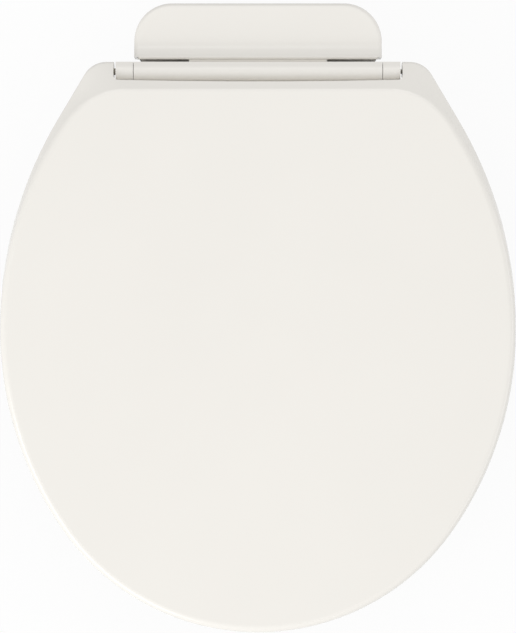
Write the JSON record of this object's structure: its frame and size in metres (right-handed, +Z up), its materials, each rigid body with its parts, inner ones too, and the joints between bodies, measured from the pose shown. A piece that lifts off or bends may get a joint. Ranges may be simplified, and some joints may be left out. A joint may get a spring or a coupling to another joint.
{
  "type": "toilet seat",
  "caption": "White moulded toilet seat with a closing lid on a full-width soft-close hinge bar, with a hinge cover, rubber buffers and pan fixings.",
  "frame": {"origin": "midway between the two fixing bolts, on the pan surface that the hinge pads sit on", "axes": "+X right seen from the front, +Y to the rear (cistern), +Z up, the front of the seat at -Y"},
  "size_m": [0.3652, 0.4462, 0.1019],
  "materials": {
    "white_plastic": "moulded gloss",
    "buffer_rubber": "matt",
    "seal_rubber": "matt",
    "damper_plastic": "moulded satin",
    "bush_plastic": "moulded satin",
    "nut_plastic": "moulded satin",
    "fixing_steel": "bright"
  },
  "bodies": {
    "hinge": {"hinge_base": "white_plastic", "base_pad_left": "buffer_rubber", "base_pad_right": "buffer_rubber", "lid_damper_housing": "damper_plastic", "lid_damper_cap": "damper_plastic", "lid_damper_seal": "seal_rubber", "seat_damper_housing": "damper_plastic", "seat_damper_cap": "damper_plastic", "seat_damper_seal": "seal_rubber"},
    "seat": {"seat_ring": "white_plastic", "seat_bush": "bush_plastic", "seat_damper_rotor": "bush_plastic", "seat_buffer_front_left": "buffer_rubber", "seat_buffer_front_right": "buffer_rubber", "seat_buffer_rear_left": "buffer_rubber", "seat_buffer_rear_right": "buffer_rubber"},
    "lid": {"lid": "white_plastic", "lid_bush": "bush_plastic", "lid_damper_rotor": "bush_plastic", "lid_buffer_front_left": "buffer_rubber", "lid_buffer_front_right": "buffer_rubber", "lid_buffer_rear_left": "buffer_rubber", "lid_buffer_rear_right": "buffer_rubber"},
    "cover": {"hinge_cover": "white_plastic"},
    "left_fixing": {"fixing_bolt_left": "fixing_steel", "clamp_plate_left": "fixing_steel", "rubber_washer_left": "seal_rubber", "flat_washer_left": "fixing_steel", "wing_nut_left": "nut_plastic"},
    "right_fixing": {"fixing_bolt_right": "fixing_steel", "clamp_plate_right": "fixing_steel", "rubber_washer_right": "seal_rubber", "flat_washer_right": "fixing_steel", "wing_nut_right": "nut_plastic"}
  },
  "joints": [
    {"name": "seat_hinge", "type": "hinge", "parent": "hinge", "child": "seat", "pos_m": [0, -0.017, 0.024], "axis": [-1, 0, 0], "range_deg": [0, 94]},
    {"name": "lid_hinge", "type": "hinge", "parent": "seat", "child": "lid", "pos_m": [0, -0.017, 0.024], "axis": [1, 0, 0], "range_deg": [-97, 0]},
    {"name": "cover_hinge", "type": "hinge", "parent": "hinge", "child": "cover", "pos_m": [0, -0.0066, 0.023], "axis": [1, 0, 0], "range_deg": [0, 50]},
    {"name": "left_fixing_slide", "type": "slide", "parent": "hinge", "child": "left_fixing", "axis": [1, 0, 0], "range_m": [0, 0.012]},
    {"name": "right_fixing_slide", "type": "slide", "parent": "hinge", "child": "right_fixing", "axis": [-1, 0, 0], "range_m": [0, 0.012]}
  ]
}
